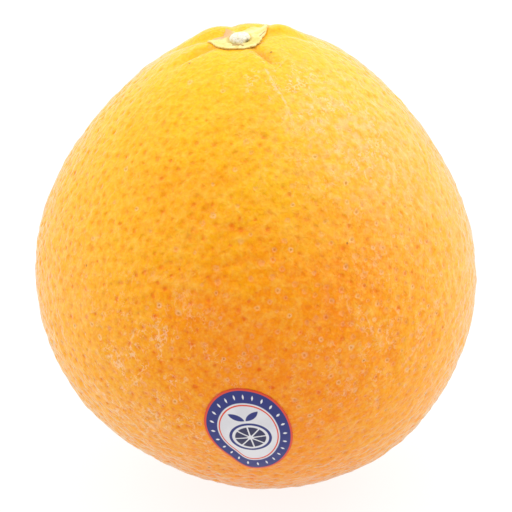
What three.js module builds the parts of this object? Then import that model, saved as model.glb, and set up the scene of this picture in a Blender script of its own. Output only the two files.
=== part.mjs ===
// A ripe orange as picked: the whole fruit, its calyx, the dry stump of its stalk and a small
// oval label. Millimetres, +Z up. The origin is the middle of the flat spot the fruit rests on.
// The stem end is up and the label is low on the side that faces -Y.

import * as THREE from 'three';
import { ConvexHull } from 'three/addons/math/ConvexHull.js';

// ---- The fruit's form ---------------------------------------------------------------------

const GIRTH_RADIUS = 43.9;
// The radius as a share of the girth's, as a polynomial of u, the cosine of the angle from the
// stem axis: it tapers to the stem end and is full at the blossom end.
const PROFILE = [1, -0.047, -0.076, 0.057, 0.151, 0.025];
// How far the fruit swings towards +X, for the fall from its middle in girth radii, its square
// and its cube.
const LEAN = [0.63, 1.43, 0.81];
const FOOT_PRESS = 0.75;       // how much of the blossom end is pressed flat by the fruit's weight
// Broad swells of the whole form: azimuth, angle from the stem axis, radius and height.
const SWELLS = [
  [166, 62, 13, 0.41],
  [177, 83, 13, 0.19],
  [201, 127, 13, 0.68],
  [333, 134, 13, 0.56],
  [30, 95, 15, 0.25],
  [75, 75, 16, 0.35],
  [110, 125, 18, -0.3],
];

// ---- The stem end -------------------------------------------------------------------------

const STEM_X = -3.15;          // from the fruit's own axis
const STEM_Y = -1.2;
const BASIN_DEPTH = 0.75;
const BASIN_RADIUS = 5;
const FURROW_DEPTH = 0.7;
const FURROW_START = [3.5, 7];      // distances from the stem between which a furrow deepens
const FURROW_FADE = 0.55;           // the share of its length at which a furrow begins to fade
const RIDGE_SWELL = 0.35;           // rise of the peel between the furrows
const RIDGE_END = [10, 18];         // distances from the stem between which that rise fades out
// Each furrow's azimuth about the stem in degrees, its depth as a share of FURROW_DEPTH, its
// half width, and its length from the stem.
const FURROWS = [
  [14, 0.9, 1.2, 18],
  [55, 1.1, 1.2, 18],
  [99, 0.5, 1.1, 18],
  [158, 1.0, 1.3, 18],
  [197, 1.2, 1.1, 16],
  [258, 0.4, 1.3, 14],
  [307, 1.7, 0.85, 15],
];
// The high shoulders behind the stem: azimuth about it, distance from it, radius and height.
const SHOULDERS = [
  [130, 8.2, 3.4, 0.98],
  [79, 8.0, 3.0, 0.36],
  [30, 9.2, 3.4, 1.13],
];

// ---- The peel -----------------------------------------------------------------------------

const PIT_DEPTH = 0.42;             // oil pits, about twice as deep as real ones
const PIT_SPACING = 3.0;            // least distance between two pits
const STEM_SPACING = 1.35;          // the finer mesh around the stem
const STEM_FINE_ZONE = [9, 17];     // distances from the stem over which the mesh coarsens
const PIT_START_ZONE = [9, 19];     // and over which the pits deepen
const FOOT_SMOOTH_ZONE = [9, 12];   // pits deepen over these distances from the foot's middle
const PEEL_SEED = 5171;
const SCATTER_ATTEMPTS = 60000;

// ---- The calyx and the stump --------------------------------------------------------------

const GAP = 0.3;                    // between touching pieces
const COLLAR_CREST = 2.95;
const COLLAR_HEIGHT = 0.95;         // over the calyx's underside
const CUP_RADIUS = 2.45;            // the round cup that holds the stump
const CUP_FLOOR = 0.4;
const SEPAL_THICKNESS = 0.6;
const SEPAL_LIFT = 0.35;            // rise of an edge off the peel, for each 4 mm it reaches past the crest
// The calyx's ragged edge: azimuths in degrees and distances from the stem. A long sepal points
// to the back on the right, a shorter one to the left, and the front is nearly round.
const CALYX_EDGE = [
  [0, 4.4], [12, 4.8], [24, 5.7], [32, 6.3], [40, 6.9], [48, 7.2], [56, 7.1], [64, 5.9], [78, 4.1],
  [95, 3.8], [111, 4.6], [120, 5.3], [131, 4.3], [143, 3.9], [155, 4.8], [166, 6.4], [178, 5.5],
  [192, 4.8], [208, 4.6], [221, 4.5], [240, 4.0], [258, 3.7], [285, 4.0], [308, 4.4], [330, 4.3],
];
const CALYX_SEGMENTS = 72;
const STUB_RADIUS = 1.95;
const STUB_HEIGHT = 1.1;
const STUB_ROUGHNESS = 0.09;        // how uneven the stump's sides and top are
const STUB_SEGMENTS = 24;

// ---- The label ----------------------------------------------------------------------------

const LABEL_AZIMUTH = -92.4;        // its middle, about the fruit's axis
const LABEL_POLAR = 111.7;          // and down from the stem axis
const LABEL_TURN = 10;              // its long axis leans from upright by this many degrees
const LABEL_HALF_WIDTH = 8.1;
const LABEL_HALF_HEIGHT = 11.9;
// Its uneven edge: angles about its middle in degrees, and its edge there as a share of the
// plain oval's.
const LABEL_EDGE = [[-142, 0.91], [-108, 1.06], [-45, 0.955], [28, 1.035], [82, 0.965], [160, 1.03]];
const LABEL_THICKNESS = 0.3;
const LABEL_SEGMENTS = 48;
const LABEL_RINGS = 4;
const LABEL_SMOOTH_ZONE = [1.1, 1.4];   // pits deepen over these shares of the label's half sizes

// ---- Small helpers ------------------------------------------------------------------------

const degrees = THREE.MathUtils.degToRad;
const { smoothstep, lerp } = THREE.MathUtils;

function seededRandom(seed) {
  let state = seed;
  return function next() {
    state = (state + 0x6D2B79F5) | 0;
    let mixed = Math.imul(state ^ (state >>> 15), 1 | state);
    mixed = (mixed + Math.imul(mixed ^ (mixed >>> 7), 61 | mixed)) ^ mixed;
    return ((mixed ^ (mixed >>> 14)) >>> 0) / 4294967296;
  };
}

// The unit vector at an azimuth, with a given cosine of the angle from +Z.
function directionAt(azimuth, u) {
  const side = Math.sqrt(1 - u * u);
  return new THREE.Vector3(side * Math.cos(azimuth), side * Math.sin(azimuth), u);
}

function randomDirection(random) {
  const u = 2 * random() - 1;
  return directionAt(2 * Math.PI * random(), u);
}

// The difference of two angles in radians, between -pi and pi.
function angleBetween(angle, other) {
  return Math.atan2(Math.sin(angle - other), Math.cos(angle - other));
}

function over(zone, value) {
  return smoothstep(value, zone[0], zone[1]);
}

// A value given at the corners of a full turn, as pairs of an angle in degrees and the value
// there, read at an angle in radians. The way from one corner to the next is straight unless
// it is eased.
function aroundTurn(corners, angle, ease = (share) => share) {
  const [first, firstValue] = corners[0];
  const turn = first + THREE.MathUtils.euclideanModulo(THREE.MathUtils.radToDeg(angle) - first, 360);
  const next = corners.findIndex(([corner]) => corner > turn);
  const [end, endValue] = next < 0 ? [first + 360, firstValue] : corners[next];
  const [start, startValue] = corners.at(next < 0 ? -1 : next - 1);
  return lerp(startValue, endValue, ease((turn - start) / (end - start)));
}

// ---- The fruit's surface ------------------------------------------------------------------

function profileRadius(u) {
  return GIRTH_RADIUS * PROFILE.reduceRight((sum, term) => sum * u + term, 0);
}

function leanShift(z) {
  const fall = -z / GIRTH_RADIUS;
  return fall * LEAN.reduceRight((sum, term) => sum * fall + term, 0);
}

const BLOSSOM_RADIUS = profileRadius(-1);
const CENTRE = new THREE.Vector3(-leanShift(-BLOSSOM_RADIUS), 0, BLOSSOM_RADIUS - FOOT_PRESS);

// The sum of round bumps, each given by how far away its middle is, its radius and its height.
function bumps(list) {
  return list.reduce((sum, [away, radius, height]) => sum + height * Math.exp(-((away / radius) ** 2)), 0);
}

function swellHeight(direction) {
  return bumps(SWELLS.map(([azimuth, polar, radius, height]) => {
    const middle = directionAt(degrees(azimuth), Math.cos(degrees(polar)));
    return [GIRTH_RADIUS * direction.distanceTo(middle), radius, height];
  }));
}

// Distance and azimuth from the stem, seen from above. The lower half of the fruit is far away.
function aroundStem(direction) {
  const radius = profileRadius(direction.z);
  const x = direction.x * radius - STEM_X;
  const y = direction.y * radius - STEM_Y;
  const distance = direction.z > 0 ? Math.hypot(x, y) : GIRTH_RADIUS;
  return { distance, azimuth: Math.atan2(y, x), x, y };
}

// The basin at the stem, the furrows that run out of it, and the shoulders behind it.
function stemRelief(direction) {
  const { distance, azimuth, x, y } = aroundStem(direction);
  if (distance >= GIRTH_RADIUS) return 0;
  const basin = -BASIN_DEPTH * Math.exp(-((distance / BASIN_RADIUS) ** 2));
  const start = over(FURROW_START, distance);
  const ridges = RIDGE_SWELL * start * (1 - over(RIDGE_END, distance));
  let furrows = 0;
  for (const [furrowAzimuth, share, halfWidth, length] of FURROWS) {
    const aside = distance * angleBetween(azimuth, degrees(furrowAzimuth));
    const fade = 1 - over([FURROW_FADE * length, length], distance);
    furrows += share * fade * Math.exp(-((aside / halfWidth) ** 2));
  }
  const shoulders = bumps(SHOULDERS.map(([shoulderAzimuth, out, radius, height]) => {
    const turn = degrees(shoulderAzimuth);
    return [Math.hypot(x - out * Math.cos(turn), y - out * Math.sin(turn)), radius, height];
  }));
  return basin + ridges - FURROW_DEPTH * start * furrows + shoulders;
}

function peelRadius(direction) {
  return profileRadius(direction.z) + swellHeight(direction) + stemRelief(direction);
}

// The point of the peel in a direction from the fruit's centre, raised by a height. The lowest
// part is pressed flat at z = 0.
function peelPoint(direction, raised = 0) {
  const point = direction.clone().multiplyScalar(peelRadius(direction) + raised);
  point.x += leanShift(point.z);
  point.add(CENTRE);
  point.z = Math.max(point.z, 0);
  return point;
}

// The peel's height over a place near the stem, given from the stem as radius and azimuth.
function peelHeightAt(x, y) {
  const direction = new THREE.Vector3(x, y, GIRTH_RADIUS).normalize();
  let z = 0;
  for (let pass = 0; pass < 6; pass += 1) {
    const radius = peelRadius(direction);
    z = Math.sqrt(radius * radius - x * x - y * y);
    direction.set(x, y, z).normalize();
  }
  return z;
}

function stemPoint(radius, azimuth, raised) {
  const x = STEM_X + radius * Math.cos(azimuth);
  const y = STEM_Y + radius * Math.sin(azimuth);
  const z = peelHeightAt(x, y);
  return new THREE.Vector3(x + leanShift(z), y, z + raised).add(CENTRE);
}

// ---- The label's place --------------------------------------------------------------------

const LABEL_OUT = directionAt(degrees(LABEL_AZIMUTH), Math.cos(degrees(LABEL_POLAR)));
const LABEL_SIDE = new THREE.Vector3(-LABEL_OUT.y, LABEL_OUT.x, 0).normalize();
const LABEL_TOP = LABEL_OUT.clone().cross(LABEL_SIDE);
LABEL_SIDE.applyAxisAngle(LABEL_OUT, degrees(LABEL_TURN));
LABEL_TOP.applyAxisAngle(LABEL_OUT, degrees(LABEL_TURN));

// A point over the label: share is 0 at its middle and 1 on its edge.
function labelPoint(share, angle, raised) {
  const out = share * aroundTurn(LABEL_EDGE, angle, (way) => smoothstep(way, 0, 1));
  const across = out * LABEL_HALF_WIDTH * Math.cos(angle);
  const along = out * LABEL_HALF_HEIGHT * Math.sin(angle);
  const bend = Math.hypot(across, along) / GIRTH_RADIUS;
  const direction = LABEL_SIDE.clone().multiplyScalar(across).addScaledVector(LABEL_TOP, along);
  direction.setLength(Math.sin(bend)).addScaledVector(LABEL_OUT, Math.cos(bend));
  return peelPoint(direction, raised);
}

function labelShare(direction) {
  if (direction.dot(LABEL_OUT) < 0) return Infinity;
  const across = GIRTH_RADIUS * direction.dot(LABEL_SIDE);
  const along = GIRTH_RADIUS * direction.dot(LABEL_TOP);
  return Math.hypot(across / LABEL_HALF_WIDTH, along / LABEL_HALF_HEIGHT);
}

// ---- The rind: a net of cells, each with an oil pit in its middle ---------------------------

function footDistance(direction) {
  return direction.z < 0 ? GIRTH_RADIUS * Math.hypot(direction.x, direction.y) : GIRTH_RADIUS;
}

function pitDepth(direction) {
  const awayFromStem = over(PIT_START_ZONE, aroundStem(direction).distance);
  const awayFromLabel = over(LABEL_SMOOTH_ZONE, labelShare(direction));
  const awayFromFoot = over(FOOT_SMOOTH_ZONE, footDistance(direction));
  return PIT_DEPTH * awayFromStem * awayFromLabel * awayFromFoot;
}

function cellSpacing(direction) {
  return lerp(STEM_SPACING, PIT_SPACING, over(STEM_FINE_ZONE, aroundStem(direction).distance));
}

// Directions spread at random over the whole fruit, no two nearer than the spacing there.
function scatterDirections() {
  const random = seededRandom(PEEL_SEED);
  const kept = [];
  for (let attempt = 0; attempt < SCATTER_ATTEMPTS; attempt += 1) {
    const candidate = randomDirection(random);
    const least = (cellSpacing(candidate) / GIRTH_RADIUS) ** 2;
    if (kept.every((other) => other.distanceToSquared(candidate) > least)) kept.push(candidate);
  }
  return kept;
}

function closedGeometry(points, triangles) {
  const geometry = new THREE.BufferGeometry();
  geometry.setFromPoints(points);
  geometry.setIndex(triangles);
  geometry.computeVertexNormals();
  return geometry;
}

// The scattered directions are joined into triangles by their convex hull. The middles of those
// triangles are the cells' rims, and each cell is a fan around its own pit.
function rindGeometry() {
  const pits = scatterDirections();
  const faces = new ConvexHull().setFromPoints(pits).faces;
  const pitIndex = new Map(pits.map((direction, index) => [direction, index]));
  const rimIndex = new Map(faces.map((face, index) => [face, pits.length + index]));
  const points = pits.map((direction) => peelPoint(direction, -pitDepth(direction)));
  const triangles = [];
  for (const face of faces) {
    const middle = new THREE.Vector3();
    for (const edge of [face.getEdge(0), face.getEdge(1), face.getEdge(2)]) {
      const corner = edge.tail().point;
      middle.add(corner);
      triangles.push(pitIndex.get(corner), rimIndex.get(edge.twin.face), rimIndex.get(face));
    }
    points.push(peelPoint(middle.normalize()));
  }
  return closedGeometry(points, triangles);
}

// ---- The small pieces: closed bodies swept round an axis ------------------------------------

// A body from its outline at each azimuth, a list of points from the top of its axis, out and
// round to the bottom of its axis.
function sweptGeometry(outlineAt, segments) {
  const outlines = [];
  for (let turn = 0; turn < segments; turn += 1) {
    outlines.push(outlineAt((2 * Math.PI * turn) / segments));
  }
  const rings = outlines[0].length - 2;
  const points = [outlines[0][0], outlines[0][rings + 1]];
  outlines.forEach((outline) => points.push(...outline.slice(1, rings + 1)));
  const triangles = [];
  for (let turn = 0; turn < segments; turn += 1) {
    const here = 2 + turn * rings;
    const next = 2 + ((turn + 1) % segments) * rings;
    triangles.push(0, here, next);
    for (let ring = 0; ring < rings - 1; ring += 1) {
      triangles.push(here + ring, here + ring + 1, next + ring + 1);
      triangles.push(here + ring, next + ring + 1, next + ring);
    }
    triangles.push(here + rings - 1, 1, next + rings - 1);
  }
  return closedGeometry(points, triangles);
}

// A thin ragged disc that lies on the peel, with a collar round a cup at its middle.
function calyxOutline(azimuth) {
  const reach = aroundTurn(CALYX_EDGE, azimuth);
  const lift = SEPAL_LIFT * (reach - COLLAR_CREST) / 4;
  const along = (share) => lerp(COLLAR_CREST, reach, share);
  const places = [
    [0, CUP_FLOOR],
    [CUP_RADIUS * 0.6, CUP_FLOOR],
    [CUP_RADIUS - 0.1, CUP_FLOOR],
    [CUP_RADIUS, COLLAR_HEIGHT * 0.9],
    [COLLAR_CREST, COLLAR_HEIGHT],
    [along(0.3), lerp(COLLAR_HEIGHT, SEPAL_THICKNESS, 0.7)],
    [along(0.7), SEPAL_THICKNESS + lift * 0.5],
    [reach, SEPAL_THICKNESS + lift],
    [reach, lift],
    [along(0.7), lift * 0.5],
    [along(0.3), 0],
    [CUP_RADIUS * 0.7, 0],
    [0, 0],
  ];
  return places.map(([radius, height]) => stemPoint(radius, azimuth, GAP + height));
}

// A rough, rounded stump that stands in the calyx's cup.
function stubOutline(azimuth) {
  const uneven = 1 + STUB_ROUGHNESS * (Math.sin(3 * azimuth + 1) + 0.6 * Math.sin(7 * azimuth));
  const places = [
    [0, STUB_HEIGHT * 0.93],
    [0.45, STUB_HEIGHT],
    [0.75, STUB_HEIGHT * 0.9],
    [0.95, STUB_HEIGHT * 0.6],
    [0.97, STUB_HEIGHT * 0.25],
    [0.85, 0],
    [0, 0],
  ];
  const foot = GAP + CUP_FLOOR + GAP;
  return places.map(([share, height]) => (
    stemPoint(STUB_RADIUS * share * Math.min(uneven, 1), azimuth, foot + height * uneven)
  ));
}

// A nearly oval sheet that follows the peel.
function labelOutline(azimuth) {
  const shares = [];
  for (let ring = 0; ring <= LABEL_RINGS; ring += 1) {
    shares.push(ring / LABEL_RINGS);
  }
  const top = shares.map((share) => labelPoint(share, azimuth, GAP + LABEL_THICKNESS));
  const underside = shares.reverse().map((share) => labelPoint(share, azimuth, GAP));
  return [...top, ...underside];
}

// ---- The fruit as a scene graph -------------------------------------------------------------

// The facets are shaded flat, because the pits are facets.
function piece(name, geometry, colour, roughness) {
  const finish = { color: colour, roughness, metalness: 0, flatShading: true };
  const material = new THREE.MeshStandardMaterial(finish);
  const mesh = new THREE.Mesh(geometry, material);
  mesh.name = name;
  return mesh;
}

const orange = new THREE.Group();
orange.add(piece('rind', rindGeometry(), '#fba527', 0.42));
orange.add(piece('calyx', sweptGeometry(calyxOutline, CALYX_SEGMENTS), '#f0dc6e', 0.7));
orange.add(piece('stem_stub', sweptGeometry(stubOutline, STUB_SEGMENTS), '#e8e0c4', 0.9));
orange.add(piece('sticker', sweptGeometry(labelOutline, LABEL_SEGMENTS), '#e1dee0', 0.35));

export default orange;
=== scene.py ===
import math

import bpy
import numpy as np
from mathutils import Euler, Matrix, Vector, kdtree, noise


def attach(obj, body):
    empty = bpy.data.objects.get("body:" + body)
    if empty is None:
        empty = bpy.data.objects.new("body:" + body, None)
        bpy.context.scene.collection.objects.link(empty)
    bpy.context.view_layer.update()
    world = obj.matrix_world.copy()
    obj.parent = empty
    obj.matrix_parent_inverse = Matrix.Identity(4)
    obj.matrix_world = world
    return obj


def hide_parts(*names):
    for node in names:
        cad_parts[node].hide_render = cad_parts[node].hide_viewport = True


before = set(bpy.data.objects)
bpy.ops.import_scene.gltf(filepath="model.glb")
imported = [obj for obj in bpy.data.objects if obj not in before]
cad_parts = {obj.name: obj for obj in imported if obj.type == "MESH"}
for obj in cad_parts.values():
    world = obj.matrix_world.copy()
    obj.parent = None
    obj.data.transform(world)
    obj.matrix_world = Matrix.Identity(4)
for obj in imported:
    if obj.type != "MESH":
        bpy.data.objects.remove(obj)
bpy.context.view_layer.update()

MM = 0.001

# ---- The fruit's form, as in the part's source ----------------------------------------------

GIRTH_RADIUS = 43.9 * MM
PROFILE = (1, -0.047, -0.076, 0.057, 0.151, 0.025)
LEAN = (0.63 * MM, 1.43 * MM, 0.81 * MM)
FOOT_PRESS = 0.75 * MM
SWELLS = (
    # azimuth, angle from the stem axis, radius and height
    (166, 62, 13 * MM, 0.41 * MM),
    (177, 83, 13 * MM, 0.19 * MM),
    (201, 127, 13 * MM, 0.68 * MM),
    (333, 134, 13 * MM, 0.56 * MM),
    (30, 95, 15 * MM, 0.25 * MM),
    (75, 75, 16 * MM, 0.35 * MM),
    (110, 125, 18 * MM, -0.3 * MM),
)

STEM_X = -3.15 * MM
STEM_Y = -1.2 * MM
BASIN_DEPTH = 0.75 * MM
BASIN_RADIUS = 5 * MM
FURROW_DEPTH = 0.7 * MM
FURROW_START = (3.5 * MM, 7 * MM)
FURROW_FADE = 0.55              # share of its length at which a furrow begins to fade
RIDGE_SWELL = 0.35 * MM
RIDGE_END = (10 * MM, 18 * MM)
FURROWS = (
    # azimuth about the stem, depth as a share of FURROW_DEPTH, half width and length
    (14, 0.9, 1.2 * MM, 18 * MM),
    (55, 1.1, 1.2 * MM, 18 * MM),
    (99, 0.5, 1.1 * MM, 18 * MM),
    (158, 1.0, 1.3 * MM, 18 * MM),
    (197, 1.2, 1.1 * MM, 16 * MM),
    (258, 0.4, 1.3 * MM, 14 * MM),
    (307, 1.7, 0.85 * MM, 15 * MM),
)
SHOULDERS = (
    # azimuth about the stem, distance from it, radius and height
    (130, 8.2 * MM, 3.4 * MM, 0.98 * MM),
    (79, 8.0 * MM, 3.0 * MM, 0.36 * MM),
    (30, 9.2 * MM, 3.4 * MM, 1.13 * MM),
)

# ---- The peel's fine relief -----------------------------------------------------------------

GRID = 128                      # squares along each side of the six patches that make the rind
PORE_SPACING = 1.8 * MM
PORE_TRIES = 40000
PORE_REACH = 0.85 * MM          # how far the mesh is drawn towards a pore
PORE_BOWL = 1.1 * MM
PORE_DEPTH = 0.20 * MM
PEBBLES = ((6 * MM, 0.09 * MM), (2.6 * MM, 0.09 * MM), (1.6 * MM, 0.09 * MM))  # wavelength, height
WRINKLE_WIDTH = 1.7 * MM
WRINKLES = (
    # azimuth, angle from the stem, radius, height, and how the noise is squeezed along x, y and z
    (-98, 60, 13 * MM, 0.15 * MM, (0.3, 0.3, 1)),
    (-50, 88, 22 * MM, 0.12 * MM, (1, 1, 0.35)),
    (-135, 100, 16 * MM, 0.08 * MM, (1, 1, 0.35)),
)
PORE_START = (8 * MM, 25 * MM)  # distances from the stem over which the pores deepen
PEEL_SEED = 5171
MAP_MARGIN = 0.008              # bare edge round each of the six charts of the rind's flat map
CORKY_SIDE = np.array((0.72, -0.25, -0.60))     # the side where most pores have corky rims
HAZE_AND_SHEEN_ZONES = (
    # azimuth, angle from the stem, radius and strength of each pale patch: partly a pale film of the peel's
    # own, and painted sheen on the upper right and along the right side
    (-35, 42, 17 * MM, 0.9),
    (-55, 30, 10 * MM, 0.5),
    (-150, 88, 14 * MM, 0.35),
    (-130, 118, 12 * MM, 0.4),
    (70, 60, 20 * MM, 0.6),
    (160, 95, 16 * MM, 0.4),
    (-4, 78, 17 * MM, 0.7),
    (-8, 112, 18 * MM, 0.7),
)
CRUST_ZONES = (
    (-118, 92, 15 * MM, 0.8),
    (-108, 106, 13 * MM, 0.9),
    (-125, 118, 14 * MM, 0.8),
    (-62, 100, 14 * MM, 0.6),
    (-48, 78, 14 * MM, 0.5),
    (-150, 70, 11 * MM, 0.5),
    (-84, 17, 5 * MM, 0.9),
    (-60, 20, 5 * MM, 0.7),
    (-45, 36, 15 * MM, 0.9),
    (-20, 96, 15 * MM, 0.7),
    (20, 80, 18 * MM, 0.6),
    (100, 100, 20 * MM, 0.6),
    (175, 105, 18 * MM, 0.6),
)
# Azimuth and angle from the stem of points along one thin scar.
SCAR = ((-81.5, 14), (-78.5, 17.7), (-76, 21), (-73.6, 23.7), (-73, 26.5), (-72, 30.5), (-70.5, 36))
BLEMISHES = (
    # azimuth, angle from the stem and radius of single dark spots
    (-67.3, 8.9, 0.42 * MM),
    (-153, 17.4, 0.40 * MM),
    (-141, 74, 0.35 * MM),
    (-63, 62, 0.35 * MM),
)

# ---- The calyx and the stump ----------------------------------------------------------------

# Azimuths in degrees and distances from the stem, in millimetres, of the calyx's ragged edge.
CALYX_EDGE = (
    (0, 4.4), (12, 4.8), (24, 5.7), (32, 6.3), (40, 6.9), (48, 7.2), (56, 7.1), (64, 5.9), (78, 4.1),
    (95, 3.8), (111, 4.6), (120, 5.3), (131, 4.3), (143, 3.9), (155, 4.8), (166, 6.4), (178, 5.5),
    (192, 4.8), (208, 4.6), (221, 4.5), (240, 4.0), (258, 3.7), (285, 4.0), (308, 4.4), (330, 4.3),
)
CALYX_SEGMENTS = 240
CALYX_RINGS = 18                # across its upper side
CALYX_START = 2.3 * MM          # the calyx begins here, in the groove round the stump
CALYX_SHEET = 0.32 * MM         # its thickness
CALYX_CRACKS = (
    # azimuth and distance from the stem of a crack's two ends
    (9, 3.9 * MM, 24, 5.3 * MM),
    (243, 2.75 * MM, 283, 2.95 * MM),
)
GAP_SHADOW_SIDES = (298, 352)          # azimuths between which a shadow is painted in the gap under the calyx's edge
GAP_EASE = 6                    # degrees over which the gap begins and ends
CALYX_LIFT = 0.08               # rise of its edge for each millimetre that it reaches
TORN_SIDE = (-3.4 * MM, 3.2 * MM)      # from the stem, where the calyx is torn
STUB_RADIUS = 1.9 * MM
STUB_WAIST = 0.75 * MM          # height of its widest part
STUB_TOP = 1.7 * MM
STUB_SEGMENTS = 96
STUB_RINGS = 22
STUMP_SHADOW_AZIMUTH = -35             # a painted shadow at the stump's foot: about the stem, out from it, and up
STUMP_SHADOW_OUT = 1.9 * MM
STUMP_SHADOW_HEIGHT = 0.55 * MM

# ---- The label ------------------------------------------------------------------------------

LABEL_AZIMUTH = -92.4
LABEL_POLAR = 111.7
LABEL_TURN = 10
LABEL_HALF_WIDTH = 8.1 * MM
LABEL_HALF_HEIGHT = 11.9 * MM
# Angles from its side, in degrees, and its edge there as a share of the plain oval.
LABEL_EDGE = ((-142, 0.91), (-108, 1.06), (-45, 0.955), (28, 1.035), (82, 0.965), (160, 1.03))
LABEL_RISE = 0.06 * MM          # of its underside over the peel
LABEL_SHEET = 0.09 * MM         # its thickness
LABEL_SEGMENTS = 144
LABEL_RINGS = 30

# ---- The camera -----------------------------------------------------------------------------

CAMERA_ELEVATION = 25           # degrees over the horizon
CAMERA_DISTANCE = 600 * MM
FRAME_WIDTH = 102.4 * MM        # what the picture takes in at the fruit's middle
FRAME_RISE = 1.58 * MM          # how far the picture's middle is over the fruit's
SENSOR_WIDTH = 36

# ---- Colours and light ----------------------------------------------------------------------

PEEL_LOW = (0.95, 0.335, 0.001, 1)
PEEL_MIDDLE = (0.99, 0.31, 0.001, 1)
# the top colour: partly the peel's own tone, partly painted light from above
PEEL_TOP = (1.0, 0.575, 0.005, 1)
# painted light: the colour of the left and right sides as seen from the front
PEEL_LIT_SIDES = (0.98, 0.52, 0.008, 1)
# the painted highlight on the peel's ridges
RIDGE_HIGHLIGHT_COLOUR = (0.98, 0.64, 0.13, 1)
DEEPER_TONE_AND_SHADE = (0.93, 0.60, 0.20, 1)       # multiplies the peel's colour: painted shade in its hollows, and its random mottling and grain
CORK_COLOUR = (0.98, 0.68, 0.34, 1)
CRUST_COLOUR = (0.98, 0.74, 0.50, 1)
CRUST_DARK = (0.62, 0.24, 0.05, 1)
DOT_COLOUR = (0.56, 0.22, 0.035, 1)
HAZE_COLOUR = (0.98, 0.66, 0.38, 1)
BLEMISH = (0.40, 0.15, 0.03, 1)
CALYX_COLOUR = (0.84, 0.66, 0.17, 1)
CALYX_PALE = (0.90, 0.78, 0.32, 1)
# dark brown of the calyx's cracks, and the painted shadow in the gap under its edge
CRACK_AND_SHADOW_COLOUR = (0.38, 0.16, 0.025, 1)
CALYX_DRY = (0.50, 0.30, 0.13, 1)
CALYX_PINK = (0.72, 0.36, 0.17, 1)
STUMP_PALE = (0.95, 0.91, 0.76, 1)
STUMP_SHADE = (0.82, 0.74, 0.50, 1)
# dark specks on the stump, and the painted shadow at its foot
STUMP_SPECK_AND_SHADOW = (0.20, 0.18, 0.11, 1)
LABEL_WHITE = (0.78, 0.77, 0.79, 1)
LABEL_GREY = (0.70, 0.69, 0.72, 1)
LABEL_NAVY = (0.024, 0.032, 0.19, 1)
LABEL_RED = (0.74, 0.07, 0.03, 1)
LABEL_INK = (0.03, 0.03, 0.09, 1)
# The label's design: shares of the way to its edge, and in millimetres within the border.
LABEL_TICKS = 24
TICK_PLACE = 0.83
BORDER_START = 0.70
RED_LINE = (0.645, 0.685)
RED_RIM = 0.95
WHEEL_WEDGES = 8
WHEEL_MIDDLE = -1.0             # its height over the label's middle
WEDGE_RADIUS = 3.0
WHEEL_RIM = (3.45, 4.1)
LEAF_RADIUS = 2.6               # of the two discs whose overlap is a leaf
LEAF_DISCS = ((2.6, 3.2), (0.4, 6.2))   # out from the middle, and up

TENT_FRONT = 0.10               # the tent's level straight in front of the fruit
TENT_SIDE = 1.85                # its level on both sides and above
TENT_BACK = 1.40
TENT_SLOPE = (0.05, 0.0, 0.12)  # how much brighter it is towards +X and the top
FLOOR_GLOW = 0.86
FLOOR_WHITE = 0.14
FLOOR_HALF = 3.0                # half its width, in metres

# ---- Helpers --------------------------------------------------------------------------------

def ramp(zone, value):
    """0 before the zone, 1 past it, and smooth between."""
    share = np.clip((value - zone[0]) / (zone[1] - zone[0]), 0, 1)
    return share * share * (3 - 2 * share)


def angle_between(angle, other):
    return np.arctan2(np.sin(angle - other), np.cos(angle - other))


def direction_at(azimuth, polar):
    """The unit vector at an azimuth and an angle from +Z, in degrees."""
    side = math.sin(math.radians(polar))
    turn = math.radians(azimuth)
    return np.array((side * math.cos(turn), side * math.sin(turn), math.cos(math.radians(polar))))


def unit(vectors):
    return vectors / np.linalg.norm(vectors, axis=-1, keepdims=True)


def noise_at(points, wavelength, seed=0.0):
    """Smooth noise between about -1 and 1 at each point."""
    shift = Vector((seed, 2.7 * seed, -1.3 * seed))
    scaled = points / wavelength
    return np.array([noise.noise(Vector(point) + shift) for point in scaled]) * 1.6


def new_mesh(name, points, faces, smooth=True):
    mesh = bpy.data.meshes.new(name)
    mesh.from_pydata([tuple(point) for point in points], [], faces)
    mesh.validate()
    mesh.polygons.foreach_set("use_smooth", [smooth] * len(mesh.polygons))
    piece = bpy.data.objects.new(name, mesh)
    bpy.context.scene.collection.objects.link(piece)
    return piece


def add_attribute(piece, name, kind, domain, values):
    attribute = piece.data.attributes.new(name, kind, domain)
    key = "vector" if kind == "FLOAT_VECTOR" else "value"
    attribute.data.foreach_set(key, np.asarray(values, dtype=np.float32).ravel())


# ---- The fruit's surface --------------------------------------------------------------------

def profile_radius(u):
    return GIRTH_RADIUS * sum(term * u ** power for power, term in enumerate(PROFILE))


def lean_shift(z):
    fall = -z / GIRTH_RADIUS
    return sum(term * fall ** (power + 1) for power, term in enumerate(LEAN))


BLOSSOM_RADIUS = profile_radius(-1)
CENTRE = np.array((-lean_shift(-BLOSSOM_RADIUS), 0, BLOSSOM_RADIUS - FOOT_PRESS))
FRUIT_HEIGHT = float(CENTRE[2] + profile_radius(1))


def swell_height(directions):
    total = 0
    for azimuth, polar, radius, height in SWELLS:
        away = GIRTH_RADIUS * np.linalg.norm(directions - direction_at(azimuth, polar), axis=-1)
        total = total + height * np.exp(-((away / radius) ** 2))
    return total


def around_stem(directions):
    """Distance and azimuth from the stem, seen from above."""
    radius = profile_radius(directions[..., 2])
    x = directions[..., 0] * radius - STEM_X
    y = directions[..., 1] * radius - STEM_Y
    distance = np.where(directions[..., 2] > 0, np.hypot(x, y), GIRTH_RADIUS)
    return distance, np.arctan2(y, x)


def shoulder_height(distance, azimuth):
    total = 0
    for shoulder_azimuth, out, radius, height in SHOULDERS:
        turn = math.radians(shoulder_azimuth)
        across = distance * np.cos(azimuth) - out * math.cos(turn)
        along = distance * np.sin(azimuth) - out * math.sin(turn)
        total = total + height * np.exp(-(np.hypot(across, along) / radius) ** 2)
    return total


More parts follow.
